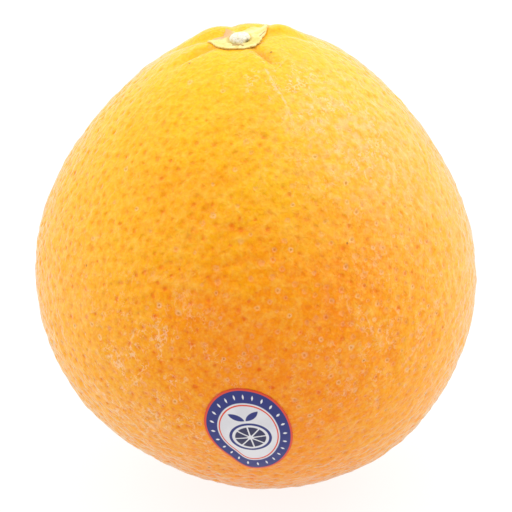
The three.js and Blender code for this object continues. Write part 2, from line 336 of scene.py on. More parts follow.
def stem_relief(directions):
    """The basin at the stem, the furrows that run out of it, and the shoulders behind it."""
    distance, azimuth = around_stem(directions)
    basin = -BASIN_DEPTH * np.exp(-((distance / BASIN_RADIUS) ** 2))
    start = ramp(FURROW_START, distance)
    ridges = RIDGE_SWELL * start * (1 - ramp(RIDGE_END, distance))
    furrows = 0
    for furrow_azimuth, share, half_width, length in FURROWS:
        aside = distance * angle_between(azimuth, math.radians(furrow_azimuth))
        fade = 1 - ramp((FURROW_FADE * length, length), distance)
        furrows = furrows + share * fade * np.exp(-((aside / half_width) ** 2))
    return basin + ridges - FURROW_DEPTH * start * furrows + shoulder_height(distance, azimuth)


def peel_radius(directions):
    return profile_radius(directions[..., 2]) + swell_height(directions) + stem_relief(directions)


def to_place(points):
    """From coordinates about the fruit's middle to the row's frame, with the foot pressed flat."""
    placed = points.copy()
    placed[..., 0] += lean_shift(points[..., 2])
    placed += CENTRE
    placed[..., 2] = np.maximum(placed[..., 2], 0)
    return placed


def peel_point(directions, raised=0.0):
    radius = peel_radius(directions) + raised
    return to_place(directions * np.asarray(radius)[..., None])


def stem_point(radius, azimuth, raised):
    """Points over the peel near the stem, given from the stem as radius and azimuth."""
    x = STEM_X + radius * np.cos(azimuth)
    y = STEM_Y + radius * np.sin(azimuth)
    z = np.full_like(x, GIRTH_RADIUS)
    for _ in range(6):
        reach = peel_radius(unit(np.stack((x, y, z), -1)))
        z = np.sqrt(reach * reach - x * x - y * y)
    return to_place(np.stack((x, y, z + raised), -1))


TORN_PLACE = stem_point(np.array([math.hypot(*TORN_SIDE)]), np.array([math.atan2(*TORN_SIDE[::-1])]), 0)[0]
STUMP_SHADOW_TURN = np.array([math.radians(STUMP_SHADOW_AZIMUTH)])
STUMP_SHADOW_PLACE = tuple(stem_point(np.array([STUMP_SHADOW_OUT]), STUMP_SHADOW_TURN, STUMP_SHADOW_HEIGHT)[0])


# ---- The label's place ----------------------------------------------------------------------

LABEL_OUT = direction_at(LABEL_AZIMUTH, LABEL_POLAR)


def label_axes():
    side = unit(np.array((-LABEL_OUT[1], LABEL_OUT[0], 0)))
    top = np.cross(LABEL_OUT, side)
    turn = math.radians(LABEL_TURN)
    return (
        math.cos(turn) * side + math.sin(turn) * top,
        math.cos(turn) * top - math.sin(turn) * side,
    )


LABEL_SIDE, LABEL_TOP = label_axes()


def label_share(directions):
    """0 at the label's middle, 1 on its edge."""
    across = GIRTH_RADIUS * directions @ LABEL_SIDE
    along = GIRTH_RADIUS * directions @ LABEL_TOP
    share = np.hypot(across / LABEL_HALF_WIDTH, along / LABEL_HALF_HEIGHT)
    return np.where(directions @ LABEL_OUT > 0, share, 9.0)


# ---- The rind -------------------------------------------------------------------------------

def sphere_net():
    """A cube's six sides swelled to a sphere: unit directions, square faces and a flat map."""
    axes = np.eye(3)
    sides = ((0, 1, 2, 1), (1, 0, 2, -1), (1, 2, 0, 1), (2, 1, 0, -1), (2, 0, 1, 1), (0, 2, 1, -1))
    steps = np.tan(np.linspace(-math.pi / 4, math.pi / 4, GRID + 1))
    across, along = (grid.ravel()[:, None] for grid in np.meshgrid(steps, steps, indexing="ij"))
    corner = (np.arange(GRID)[:, None] * (GRID + 1) + np.arange(GRID)).ravel()
    square = np.stack((corner, corner + GRID + 1, corner + GRID + 2, corner + 1), -1)
    share = np.stack(np.divmod(np.arange((GRID + 1) ** 2), GRID + 1), -1) / GRID
    points, faces, places = [], [], []
    for index, (first, second, out, sign) in enumerate(sides):
        points.append(unit(axes[first] * across + axes[second] * along + sign * axes[out]))
        faces.append(square + index * (GRID + 1) ** 2)
        chart = np.array((index % 3, index // 3))
        places.append((chart + MAP_MARGIN + (1 - 2 * MAP_MARGIN) * share) / (3, 2))
    points, faces, places = (np.concatenate(parts) for parts in (points, faces, places))
    keys = np.round(points * 1e6).astype(np.int64)
    _, kept, merged = np.unique(keys, axis=0, return_index=True, return_inverse=True)
    return points[kept], merged.ravel()[faces], places[faces]


def scatter(spacing, tries, seed):
    """Directions spread at random, no two nearer than the spacing."""
    random = np.random.default_rng(seed)
    candidates = unit(random.normal(size=(tries, 3)))
    kept = np.empty_like(candidates)
    count = 0
    least = math.cos(spacing / GIRTH_RADIUS)
    for candidate in candidates:
        if count == 0 or (kept[:count] @ candidate).max() < least:
            kept[count] = candidate
            count += 1
    return kept[:count]


def nearest(tree, directions):
    """The index of the nearest pore to each direction, and the distance to it in metres."""
    found = [tree.find(Vector(direction))[1:] for direction in directions]
    indices = np.array([index for index, _ in found])
    return indices, np.array([distance for _, distance in found]) * GIRTH_RADIUS


def pore_tree(pores):
    tree = kdtree.KDTree(len(pores))
    for index, pore in enumerate(pores):
        tree.insert(Vector(pore), index)
    tree.balance()
    return tree


def draw_to_pores(directions, pores, tree):
    """Slides the mesh so that each pore has a vertex at its very middle."""
    index, distance = nearest(tree, directions)
    order = np.argsort(-distance)
    closest = np.zeros(len(pores), dtype=int)
    closest[index[order]] = order
    pull = pores - directions[closest]
    share = np.clip(1 - (distance / PORE_REACH) ** 2, 0, 1) ** 2
    return unit(directions + pull[index] * share[:, None])


def calm(directions):
    """1 where the peel has its full relief, less round the stem and under the label."""
    distance, _ = around_stem(directions)
    past_stem = 0.15 + 0.85 * ramp(PORE_START, distance)
    past_label = 0.2 + 0.8 * ramp((1.0, 1.12), label_share(directions))
    return past_stem * past_label


def pebble_height(directions):
    points = directions * GIRTH_RADIUS
    total = sum(height * noise_at(points, wavelength, 3.1) for wavelength, height in PEBBLES)
    return total + wrinkle_height(directions)


def wrinkle_height(directions):
    """Shallow waves that run one way within each zone."""
    points = directions * GIRTH_RADIUS
    total = np.zeros(len(directions))
    for azimuth, polar, radius, height, squeeze in WRINKLES:
        zone = zone_share(directions, ((azimuth, polar, radius, 1.0),))
        inside = zone > 0.05
        waves = noise_at(points[inside] * squeeze, WRINKLE_WIDTH, 8.3)
        total[inside] += height * zone[inside] * waves
    return total


def pore_styles(pores):
    """For each pore: how corky its rim is, how dark its middle, its size and its depth."""
    random = np.random.default_rng(PEEL_SEED + 1)
    draws = random.random((len(pores), 4))
    likely = 0.38 + 0.90 * (pores @ CORKY_SIDE)
    strong = draws[:, 0] / np.maximum(likely, 0.1)
    corky = np.where(strong < 1, 0.33 + 0.67 * strong ** 4, 0.0)
    dark = np.maximum(0.1 + 0.9 * draws[:, 1] ** 2.5, 0.7 * corky)
    return np.stack((corky, dark, 0.65 + 0.50 * draws[:, 2], 0.4 + 0.8 * draws[:, 3]), -1)


def zone_share(directions, zones):
    """How far each direction lies inside soft round patches."""
    total = 0
    for azimuth, polar, radius, strength in zones:
        away = np.arccos(np.clip(directions @ direction_at(azimuth, polar), -1, 1)) * GIRTH_RADIUS
        total = total + strength * np.exp(-((away / radius) ** 2))
    return np.clip(total, 0, 1)


def scar_distance(directions):
    """Signed distance to the scar's line, and how far along it, from 0 to 1."""
    points = np.array([direction_at(azimuth, polar) for azimuth, polar in SCAR])
    best = np.full(len(directions), np.inf)
    signed = np.full(len(directions), 9.0)
    along = np.zeros(len(directions))
    for index in range(len(points) - 1):
        start, end = points[index], points[index + 1]
        run = end - start
        share = np.clip((directions - start) @ run / (run @ run), 0, 1)
        offset = directions - start - share[:, None] * run
        away = np.linalg.norm(offset, axis=1)
        side = np.sign(offset @ np.cross(run, start))
        nearer = away < best
        best = np.where(nearer, away, best)
        signed = np.where(nearer, side * away * GIRTH_RADIUS / MM, signed)
        along = np.where(nearer, (index + share) / (len(points) - 1), along)
    return np.stack((signed, along, np.zeros_like(along)), -1)


def make_rind():
    directions, faces, places = sphere_net()
    pores = scatter(PORE_SPACING, PORE_TRIES, PEEL_SEED)
    tree = pore_tree(pores)
    directions = draw_to_pores(directions, pores, tree)
    styles = pore_styles(pores)
    depths = PORE_DEPTH * styles[:, 3] * calm(pores)
    index, distance = nearest(tree, directions)
    bowl = np.clip(1 - (distance / (PORE_BOWL * styles[index, 2])) ** 2, 0, 1) ** 2
    relief = pebble_height(directions) * calm(directions) - depths[index] * bowl
    points = peel_point(directions, relief)
    rind = new_mesh("rind_peel", points, faces.tolist())
    layer = rind.data.uv_layers.new(name="OFBake")
    layer.data.foreach_set("uv", places.ravel())
    middles = unit(directions[faces].mean(axis=1))
    owner, _ = nearest(tree, middles)
    pore_points = peel_point(pores, pebble_height(pores) * calm(pores) - depths)
    add_attribute(rind, "pore_centre", "FLOAT_VECTOR", "FACE", pore_points[owner])
    add_attribute(rind, "pore_style", "FLOAT_VECTOR", "FACE", styles[owner, :3])
    add_attribute(rind, "haze", "FLOAT", "POINT", zone_share(directions, HAZE_AND_SHEEN_ZONES))
    add_attribute(rind, "crust", "FLOAT", "POINT", zone_share(directions, CRUST_ZONES))
    add_attribute(rind, "gap", "FLOAT", "POINT", gap_shadow_share(directions))
    add_attribute(rind, "scar", "FLOAT_VECTOR", "POINT", scar_distance(directions))
    add_attribute(rind, "calm", "FLOAT", "POINT", calm(directions))
    add_attribute(rind, "hollow", "FLOAT", "POINT", -stem_relief(directions) / MM)
    add_attribute(rind, "wrinkle", "FLOAT", "POINT", wrinkle_height(directions) / MM)
    return rind


# ---- The calyx and the stump ----------------------------------------------------------------

def swept(name, outline_at, segments):
    """A closed body from its outline at each azimuth, from the top of its axis to the bottom."""
    azimuths = np.arange(segments) * 2 * math.pi / segments
    outlines = outline_at(azimuths)             # segments x places x 3
    rings = outlines.shape[1] - 2
    points = [outlines[:, 0].mean(axis=0), outlines[:, -1].mean(axis=0)]
    points.extend(outlines[:, 1:-1].reshape(-1, 3))
    faces = []
    for turn in range(segments):
        here = 2 + turn * rings
        there = 2 + (turn + 1) % segments * rings
        faces.append((0, here, there))
        for ring in range(rings - 1):
            faces.append((here + ring, here + ring + 1, there + ring + 1, there + ring))
        faces.append((here + rings - 1, 1, there + rings - 1))
    return new_mesh(name, points, faces)


def calyx_reach(azimuths):
    """How far the calyx reaches from the stem: straight from one corner to the next, and ragged."""
    corners, reaches = np.array(CALYX_EDGE).T
    reach = np.interp(np.degrees(azimuths) % 360, corners, reaches, period=360) * MM
    circle = np.stack((np.cos(azimuths), np.sin(azimuths), 0 * azimuths), -1) * 5 * MM
    return reach + 0.16 * MM * noise_at(circle, 1.0 * MM, 7.7) + 0.08 * MM * noise_at(circle, 0.35 * MM, 2.7)


def calyx_outline(azimuths):
    """Up out of the groove round the stump, over a low collar and out along a thin lifted blade."""
    reach = calyx_reach(azimuths)
    flat = 0 * azimuths
    curl = 1 + 0.8 * noise_at(np.stack((np.cos(azimuths), np.sin(azimuths), flat), -1), 0.45, 3.3)
    radii = [flat, flat + CALYX_START * 0.7, flat + CALYX_START]
    heights = [flat + 0.1 * MM, flat + 0.1 * MM, flat + 0.15 * MM]
    shares = np.linspace(0, 1, CALYX_RINGS)
    crest = CALYX_START + 0.25 * MM
    for share in shares:
        run = (reach - crest) * share
        collar = 0.35 * MM * (1 - ramp((0.0, 0.5), share))
        radii.append(crest + run)
        heights.append(CALYX_SHEET + collar + CALYX_LIFT * run * share * curl)
    top = len(radii)
    for share in shares[::-2]:
        run = (reach - crest) * share
        radii.append(crest + run)
        heights.append(CALYX_LIFT * run * share * curl)
    radii.append(flat)
    heights.append(flat)
    outline = []
    for place, (radius, height) in enumerate(zip(radii, heights)):
        points = stem_point(radius, azimuths, height)
        if 2 < place < top:
            spread = (5 * np.cos(azimuths), 5 * np.sin(azimuths), radius / (3 * MM))
            ribs = noise_at(np.stack(spread, -1), 1.0, 2.2)
            rough = 0.6 * noise_at(points, 0.8 * MM, 5.5) + 0.5 * noise_at(points, 0.4 * MM, 1.5) + 0.7 * ribs
            points[:, 2] += 0.08 * MM * rough
        outline.append(points)
    return np.stack(outline, 1)


def crack_distance(points):
    """How far each point is from the nearest crack of the calyx, seen from above, in millimetres."""
    flat = (points - stem_point(np.zeros(1), np.zeros(1), np.zeros(1)))[:, :2]
    best = np.full(len(points), 9.0)
    for start_azimuth, start_out, end_azimuth, end_out in CALYX_CRACKS:
        start = start_out * direction_at(start_azimuth, 90)[:2]
        run = end_out * direction_at(end_azimuth, 90)[:2] - start
        share = np.clip((flat - start) @ run / (run @ run), 0, 1)
        best = np.minimum(best, np.linalg.norm(flat - start - share[:, None] * run, axis=1) / MM)
    return best


def gap_shadow_share(directions):
    """1 on the strip of peel in the gap under the calyx's edge, where a shadow is painted."""
    distance, azimuth = around_stem(directions)
    past = (distance - calyx_reach(azimuth)) / MM
    turn = np.degrees(azimuth) % 360
    begun, ended = (ramp((side - GAP_EASE, side + GAP_EASE), turn) for side in GAP_SHADOW_SIDES)
    beside = begun * (1 - ended)
    return beside * np.exp(-(((past - 0.1) / 0.32) ** 2))


def make_calyx():
    calyx = swept("calyx_star", calyx_outline, CALYX_SEGMENTS)
    points = np.array([vertex.co for vertex in calyx.data.vertices])
    add_attribute(calyx, "crack", "FLOAT", "POINT", crack_distance(points))
    return calyx


def stub_outline(azimuths):
    """A rough, lumpy button with its sides drawn in at the foot."""
    flat = 0 * azimuths
    outline = [(flat, flat + STUB_TOP)]
    for share in np.linspace(0.06, 1, STUB_RINGS):
        turn = share * 0.72 * math.pi
        radius = flat + STUB_RADIUS * math.sin(turn) ** 0.85
        rise = math.copysign(abs(math.cos(turn)) ** 0.8, math.cos(turn))
        outline.append((radius, flat + STUB_WAIST + (STUB_TOP - STUB_WAIST) * rise))
    outline.append((flat, outline[-1][1]))
    middle = stem_point(np.zeros(1), np.zeros(1), np.array([STUB_WAIST]))
    places = []
    for radius, height in outline:
        points = stem_point(radius, azimuths, height)
        rough = noise_at(points, 1.3 * MM, 9.0) + 0.6 * noise_at(points, 0.55 * MM, 4.0)
        rough += 0.35 * noise_at(points, 0.25 * MM, 6.0)
        points += unit(points - middle + (0, 0, 1e-6)) * (0.13 * MM * rough)[:, None]
        places.append(points)
    return np.stack(places, 1)


# ---- The label ------------------------------------------------------------------------------

def label_edge(azimuths):
    """The label's uneven edge as a share of the plain oval, smooth from one bend to the next."""
    angles, shares = np.array(LABEL_EDGE).T
    angles = np.append(angles, angles[0] + 360)
    shares = np.append(shares, shares[0])
    turned = (np.degrees(azimuths) - angles[0]) % 360 + angles[0]
    index = np.clip(np.searchsorted(angles, turned, side="right") - 1, 0, len(LABEL_EDGE) - 1)
    along = (turned - angles[index]) / (angles[index + 1] - angles[index])
    return shares[index] + (shares[index + 1] - shares[index]) * along * along * (3 - 2 * along)


def label_outline(azimuths):
    wave = label_edge(azimuths)
    shares = [0, *np.linspace(0.06, 1, LABEL_RINGS)]
    rings = [(share, LABEL_RISE + LABEL_SHEET) for share in shares]
    rings.extend(((1.0, LABEL_RISE), (0.5, LABEL_RISE * 0.5), (0.0, LABEL_RISE * 0.5)))
    outline = []
    for share, raised in rings:
        across = share * wave * LABEL_HALF_WIDTH * np.cos(azimuths)
        along = share * wave * LABEL_HALF_HEIGHT * np.sin(azimuths)
        bend = np.hypot(across, along) / GIRTH_RADIUS
        aside = across[:, None] * LABEL_SIDE + along[:, None] * LABEL_TOP
        aside = aside / (np.linalg.norm(aside, axis=1, keepdims=True) + 1e-12)
        directions = aside * np.sin(bend)[:, None] + LABEL_OUT * np.cos(bend)[:, None]
        relief = pebble_height(directions) * calm(directions)
        outline.append(peel_point(directions, relief + raised))
    return np.stack(outline, 1)


def make_label():
    label = swept("label_sheet", label_outline, LABEL_SEGMENTS)
    points = np.array([vertex.co for vertex in label.data.vertices]) - CENTRE
    points[:, 0] -= lean_shift(points[:, 2])
    across = points @ LABEL_SIDE
    along = points @ LABEL_TOP
    turn = np.arctan2(along / LABEL_HALF_HEIGHT, across / LABEL_HALF_WIDTH)
    share = np.hypot(across / LABEL_HALF_WIDTH, along / LABEL_HALF_HEIGHT) / label_edge(turn)
    place = np.stack((across / MM, along / MM, share), -1)
    add_attribute(label, "label_place", "FLOAT_VECTOR", "POINT", place)
    return label


# ---- Materials ------------------------------------------------------------------------------

class Shader:
    """Short calls that add linked nodes to one material."""

    def __init__(self, name):
        self.material = bpy.data.materials.new(name)
        self.material.use_nodes = True
        self.tree = self.material.node_tree
        self.principled = self.tree.nodes["Principled BSDF"]

    def put(self, socket, value):
        if isinstance(value, bpy.types.NodeSocket):
            self.tree.links.new(value, socket)
        else:
            socket.default_value = value

    def node(self, kind, inputs, **settings):
        node = self.tree.nodes.new(kind)
        for key, value in settings.items():
            setattr(node, key, value)
        for key, value in inputs.items():
            self.put(node.inputs[key], value)
        return node

    def place(self):
        return self.node("ShaderNodeTexCoord", {}).outputs["Object"]

    def attribute(self, name, output="Vector"):
        return self.node("ShaderNodeAttribute", {}, attribute_name=name).outputs[output]

    def parts(self, vector):
        return self.node("ShaderNodeSeparateXYZ", {"Vector": vector}).outputs

    def join(self, x, y):
        return self.node("ShaderNodeCombineXYZ", {"X": x, "Y": y}).outputs[0]

    def math(self, operation, first, second=0.0):
        inputs = {0: first, 1: second}
        return self.node("ShaderNodeMath", inputs, operation=operation).outputs[0]

    def distance(self, first, second):
        inputs = {0: first, 1: second}
        return self.node("ShaderNodeVectorMath", inputs, operation="DISTANCE").outputs["Value"]

    def span(self, value, low, high, to_low=0.0, to_high=1.0):
        """Carries low..high to to_low..to_high along a smooth step."""
        inputs = {"Value": value, "From Min": low, "From Max": high, "To Min": to_low, "To Max": to_high}
        node = self.node("ShaderNodeMapRange", inputs, interpolation_type="SMOOTHSTEP")
        return node.outputs["Result"]

    def noise(self, where, wavelength, detail=1.0):
        inputs = {"Vector": where, "Scale": 1 / wavelength, "Detail": detail}
        return self.node("ShaderNodeTexNoise", inputs).outputs["Fac"]

    def net(self, where, width, lines):
        """1 on a net of thin lines round cells of the given width, 0 within the cells."""
        inputs = {"Vector": where, "Scale": 1 / width}
        node = self.node("ShaderNodeTexVoronoi", inputs, feature="DISTANCE_TO_EDGE")
        return self.span(node.outputs["Distance"], lines, 0.0)

    def mix(self, share, under, over, blend="MIX"):
        node = self.node("ShaderNodeMix", {}, data_type="RGBA", blend_type=blend)
        self.put(node.inputs["Factor"], share)
        self.put(node.inputs[6], under)
        self.put(node.inputs[7], over)
        return node.outputs[2]

    def bump(self, height, depth, normal=None):
        inputs = {"Height": height, "Distance": depth}
        if normal:
            inputs["Normal"] = normal
        return self.node("ShaderNodeBump", inputs).outputs["Normal"]

    def surface(self, **inputs):
        for key, value in inputs.items():
            self.put(self.principled.inputs[key.replace("_", " ")], value)
        return self.material


def peel_tone(sh, place):
    """Yellower towards the stem, partly the peel's own tone and partly painted light from above, and lighter
    and yellower at the left and right as seen from the front, which is painted light; with broad clouds, fine
    mottling and a dark grain.
    """
    tone = sh.math("MULTIPLY", sh.parts(place)[2], 1 / FRUIT_HEIGHT)
    for wavelength, strength in ((17 * MM, 0.35), (4 * MM, 0.12)):
        cloud = sh.math("SUBTRACT", sh.noise(place, wavelength, 2.0), 0.5)
        tone = sh.math("ADD", tone, sh.math("MULTIPLY", cloud, strength))
    colour = sh.mix(sh.span(tone, 0.10, 0.50), PEEL_LOW, PEEL_MIDDLE)
    colour = sh.mix(sh.span(tone, 0.50, 1.0), colour, PEEL_TOP)
    # Painted light: lighter and yellower towards the left and right as seen from the front.
    aside = sh.math("ABSOLUTE", sh.math("MULTIPLY", sh.parts(place)[0], 1 / GIRTH_RADIUS))
    colour = sh.mix(sh.span(aside, 0.10, 1.0, 0.0, 0.75), colour, PEEL_LIT_SIDES)
    mottle = sh.span(sh.noise(place, 0.9 * MM, 2.0), 0.38, 0.68, 0.0, 0.34)
    colour = sh.mix(mottle, colour, DEEPER_TONE_AND_SHADE, "MULTIPLY")
    grain = sh.span(sh.noise(place, 0.5 * MM, 2.0), 0.40, 0.68)
    grain = sh.math("MULTIPLY", grain, sh.span(tone, 0.9, 0.4, 0.25, 0.50))
    return sh.mix(grain, colour, DEEPER_TONE_AND_SHADE, "MULTIPLY")


def highlight_haze_and_crust(sh, place, colour, ridge):
    """A painted highlight on the ridges, a pale haze in patches that is partly painted sheen, and crooked
    lines of crust.
    """
    # Painted highlight on the ridges.
    for wavelength, least, most in ((3.0 * MM, 0.0, 0.11), (1.1 * MM, 0.0, 0.15)):
        highlight_share = sh.span(sh.noise(place, wavelength, 2.0), 0.42, 0.66, least, most)
        colour = sh.mix(sh.math("MULTIPLY", highlight_share, ridge), colour, RIDGE_HIGHLIGHT_COLOUR)
    haze_noise = sh.span(sh.noise(place, 1.7 * MM, 2.5), 0.41, 0.64, 0.08, 0.40)
    # Pale haze patches: partly the peel's own film, partly painted sheen on the upper right and the right
    # side.
    colour = sh.mix(sh.math("MULTIPLY", sh.attribute("haze", "Fac"), haze_noise), colour, HAZE_COLOUR)
    for squeeze, wavelength, seed in (((1, 1, 0.7), 0.95 * MM, 0.31), ((1, 1, 1), 0.65 * MM, 0.57)):
        inputs = {0: place, 1: squeeze, 2: (seed,) * 3}
        where = sh.node("ShaderNodeVectorMath", inputs, operation="MULTIPLY_ADD").outputs[0]
        crest = sh.math("ABSOLUTE", sh.math("SUBTRACT", sh.noise(where, wavelength, 1.5), 0.5))
        patch = sh.span(sh.noise(where, 4.5 * wavelength, 2.0), 0.46, 0.66)
        broken = sh.span(sh.noise(where, 1.2 * wavelength, 0.5), 0.45, 0.60)
        patch = sh.math("MULTIPLY", sh.math("MULTIPLY", patch, broken), sh.attribute("crust", "Fac"))
        dark = sh.math("MULTIPLY", sh.span(crest, 0.07, 0.11), sh.span(crest, 0.18, 0.13))
        colour = sh.mix(sh.math("MULTIPLY", sh.math("MULTIPLY", dark, patch), 0.30), colour, CRUST_DARK)
        pale = sh.math("MULTIPLY", sh.span(crest, 0.085, 0.02, 0.0, 0.46), patch)
        colour = sh.mix(pale, colour, CRUST_COLOUR)
    return colour


def corky_pores(sh, place, colour, away, corky, dark):
    """On many a pore a pale corky spot lies round a small brown dot: the colour, and the cork's share."""
    uneven = sh.span(sh.noise(place, 0.5 * MM, 2.0), 0.34, 0.60, 0.5, 1.0)
    spot = sh.math("MULTIPLY", sh.span(away, 0.78, 0.30), uneven)
    hole = sh.math("MULTIPLY", sh.span(away, 0.34, 0.10), dark)
    cork = sh.math("MULTIPLY", sh.math("MULTIPLY", spot, sh.math("SUBTRACT", 1.0, hole)), corky)
    colour = sh.mix(sh.math("MULTIPLY", cork, 0.62), colour, CORK_COLOUR)
    strong = sh.math("MULTIPLY", sh.span(corky, 0.34, 0.6), dark)
    dot = sh.math("MULTIPLY", sh.span(away, 0.28, 0.08), strong)
    return sh.mix(sh.math("MULTIPLY", dot, 0.7), colour, DOT_COLOUR), cork


def scar_and_spots(sh, place, colour, wobble):
    """A thin pale scar down from the furrow on the right, a painted shadow in the gap by the calyx, and
    single dark spots.
    """
    scar = sh.parts(sh.attribute("scar"))
    line = sh.math("ABSOLUTE", sh.math("ADD", scar[0], sh.math("MULTIPLY", wobble, 0.8)))
    line = sh.math("MULTIPLY", sh.span(line, 0.34, 0.08), sh.span(scar[1], 1.0, 0.5))
    line = sh.math("MULTIPLY", line, sh.span(scar[1], 0.0, 0.03, 0.0, 0.6))
    line = sh.math("MULTIPLY", line, sh.span(sh.noise(place, 0.9 * MM, 2.0), 0.36, 0.56))
    colour = sh.mix(line, colour, HAZE_COLOUR)
    # Painted shadow in the gap under the calyx's edge.
    gap = sh.math("MULTIPLY", sh.attribute("gap", "Fac"), 0.85)
    colour = sh.mix(gap, colour, CRACK_AND_SHADOW_COLOUR)
    for azimuth, polar, radius in BLEMISHES:
        away = sh.distance(place, tuple(peel_point(direction_at(azimuth, polar))))
        colour = sh.mix(sh.span(away, radius, 0.4 * radius, 0.0, 0.75), colour, BLEMISH)
    return colour


def peel_material():
    sh = Shader("peel")
    place = sh.place()
    colour = peel_tone(sh, place)
    # Painted shade: darker in the basin round the stem and in its furrows.
    hollow = sh.span(sh.attribute("hollow", "Fac"), 0.15, 0.9, 0.0, 0.8)
    colour = sh.mix(hollow, colour, DEEPER_TONE_AND_SHADE, "MULTIPLY")

    # Painted shade makes hollows a deeper orange, most of all in the middle of a pore, where the pore's own
    # darker colour adds to it, and a painted highlight makes ridges paler.
    corky, dark, size = (sh.parts(sh.attribute("pore_style"))[part] for part in range(3))
    unhazed = sh.span(sh.attribute("haze", "Fac"), 0.2, 1.0, 1.0, 0.25)
    clear = sh.math("MULTIPLY", sh.attribute("calm", "Fac"), unhazed)
    wobble = sh.math("MULTIPLY", sh.math("SUBTRACT", sh.noise(place, 0.7 * MM, 1.0), 0.5), 0.6)
    away = sh.math("MULTIPLY", sh.distance(place, sh.attribute("pore_centre")), 1 / MM)
    away = sh.math("ADD", sh.math("DIVIDE", away, size), wobble)
    wrinkle = sh.attribute("wrinkle", "Fac")
    bowl = sh.math("MULTIPLY", sh.span(away, 1.30, 0.50, 0.0, 0.16), clear)
    middle = sh.math("MULTIPLY", sh.span(away, 0.62, 0.12), clear)
    lowness = sh.span(sh.parts(place)[2], 0.8 * FRUIT_HEIGHT, 0.35 * FRUIT_HEIGHT, 0.7, 1.35)
    depth = sh.math("MULTIPLY", sh.math("MULTIPLY", middle, dark), lowness)
    depth = sh.math("MULTIPLY", depth, sh.math("SUBTRACT", 1.2, corky))
    # Painted shade in the pore bowls and middles, stronger towards the bottom, and in the wrinkles' troughs.
    cavity_shade = sh.math("ADD", sh.math("ADD", bowl, depth), sh.span(wrinkle, 0.0, -0.12, 0.0, 0.40))
    colour = sh.mix(sh.math("MINIMUM", cavity_shade, 1.0), colour, DEEPER_TONE_AND_SHADE, "MULTIPLY")
    inputs = {"Vector": place, "Scale": 1 / (1.3 * MM), "Detail": 1}
    bent = sh.node("ShaderNodeTexNoise", inputs).outputs["Color"]
    bent = sh.node("ShaderNodeVectorMath", {0: bent, 1: (1.1 * MM,) * 3, 2: place}, operation="MULTIPLY_ADD")
    net = sh.net(bent.outputs[0], 1.9 * MM, 0.2)
    # Where the painted highlight falls: away from the pores, along a net of lines and on the wrinkles'
    # crests.
    ridge = sh.math("ADD", sh.span(away, 0.45, 1.25, 0.15, 0.7), sh.math("MULTIPLY", net, 0.7))
    ridge = sh.math("ADD", ridge, sh.span(wrinkle, 0.0, 0.12))
    colour = highlight_haze_and_crust(sh, place, colour, ridge)

    colour, cork = corky_pores(sh, place, colour, away, corky, dark)
    colour = scar_and_spots(sh, place, colour, wobble)

    # Relief finer than the mesh.
    fine = sh.math("MULTIPLY", sh.noise(place, 1.2 * MM, 2.5), 0.28)
    fine = sh.math("ADD", fine, sh.math("MULTIPLY", middle, -0.08))
    fine = sh.math("ADD", fine, sh.math("MULTIPLY", net, 0.04))
    fine = sh.math("ADD", fine, sh.math("MULTIPLY", cork, 0.06))
    return sh.surface(
        Base_Color=colour,
        Roughness=0.33,
        Normal=sh.bump(fine, MM),
        IOR=1.42,
        Specular_IOR_Level=0.22,
        Sheen_Weight=1.0,
        Sheen_Roughness=0.2,
        Sheen_Tint=(1.0, 0.95, 0.9, 1),
        Subsurface_Weight=0.12,
        Subsurface_Radius=(1.0, 0.35, 0.1),
        Subsurface_Scale=1.5 * MM,
    )


def calyx_material():
    """Dry, pale and yellow-green, and pinkish where it is torn at the back on the left."""
    sh = Shader("calyx")
    place = sh.place()
    colour = sh.mix(sh.span(sh.noise(place, 1.6 * MM, 3.0), 0.35, 0.65), CALYX_COLOUR, CALYX_PALE)
    dry = sh.span(sh.noise(place, 0.6 * MM, 3.0), 0.60, 0.74, 0.0, 0.6)
    colour = sh.mix(dry, colour, CALYX_DRY)
    torn = sh.distance(place, TORN_PLACE)
    torn = sh.math("ADD", torn, sh.math("MULTIPLY", sh.noise(place, 1.0 * MM, 2.0), 1.5 * MM))
    colour = sh.mix(sh.span(torn, 3.6 * MM, 2.4 * MM, 0.0, 0.8), colour, CALYX_PINK)
    ragged = sh.math("MULTIPLY", sh.noise(place, 0.6 * MM, 2.0), 0.25)
    crack = sh.math("ADD", sh.attribute("crack", "Fac"), ragged)
    colour = sh.mix(sh.span(crack, 0.36, 0.18, 0.0, 0.8), colour, CRACK_AND_SHADOW_COLOUR)
    grain = sh.noise(place, 0.35 * MM, 3.0)
    return sh.surface(
        Base_Color=colour,
        Roughness=0.65,
        Normal=sh.bump(grain, 0.12 * MM),
        Sheen_Weight=0.15,
    )


def stump_material():
    sh = Shader("stump")
    place = sh.place()
    grain = sh.noise(place, 0.5 * MM, 4.0)
    colour = sh.mix(sh.span(grain, 0.35, 0.6), STUMP_SHADE, STUMP_PALE)
    specks = sh.span(sh.noise(place, 0.25 * MM, 2.0), 0.62, 0.70, 0.0, 0.75)
    colour = sh.mix(specks, colour, STUMP_SPECK_AND_SHADOW)
    # Painted shadow at the stump's foot, on its right front.
    foot_shadow = sh.math("ADD", sh.distance(place, STUMP_SHADOW_PLACE), sh.math("MULTIPLY", grain, 0.5 * MM))
    colour = sh.mix(sh.span(foot_shadow, 0.85 * MM, 0.5 * MM, 0.0, 0.8), colour, STUMP_SPECK_AND_SHADOW)
    return sh.surface(Base_Color=colour, Roughness=0.9, Normal=sh.bump(grain, 0.25 * MM))


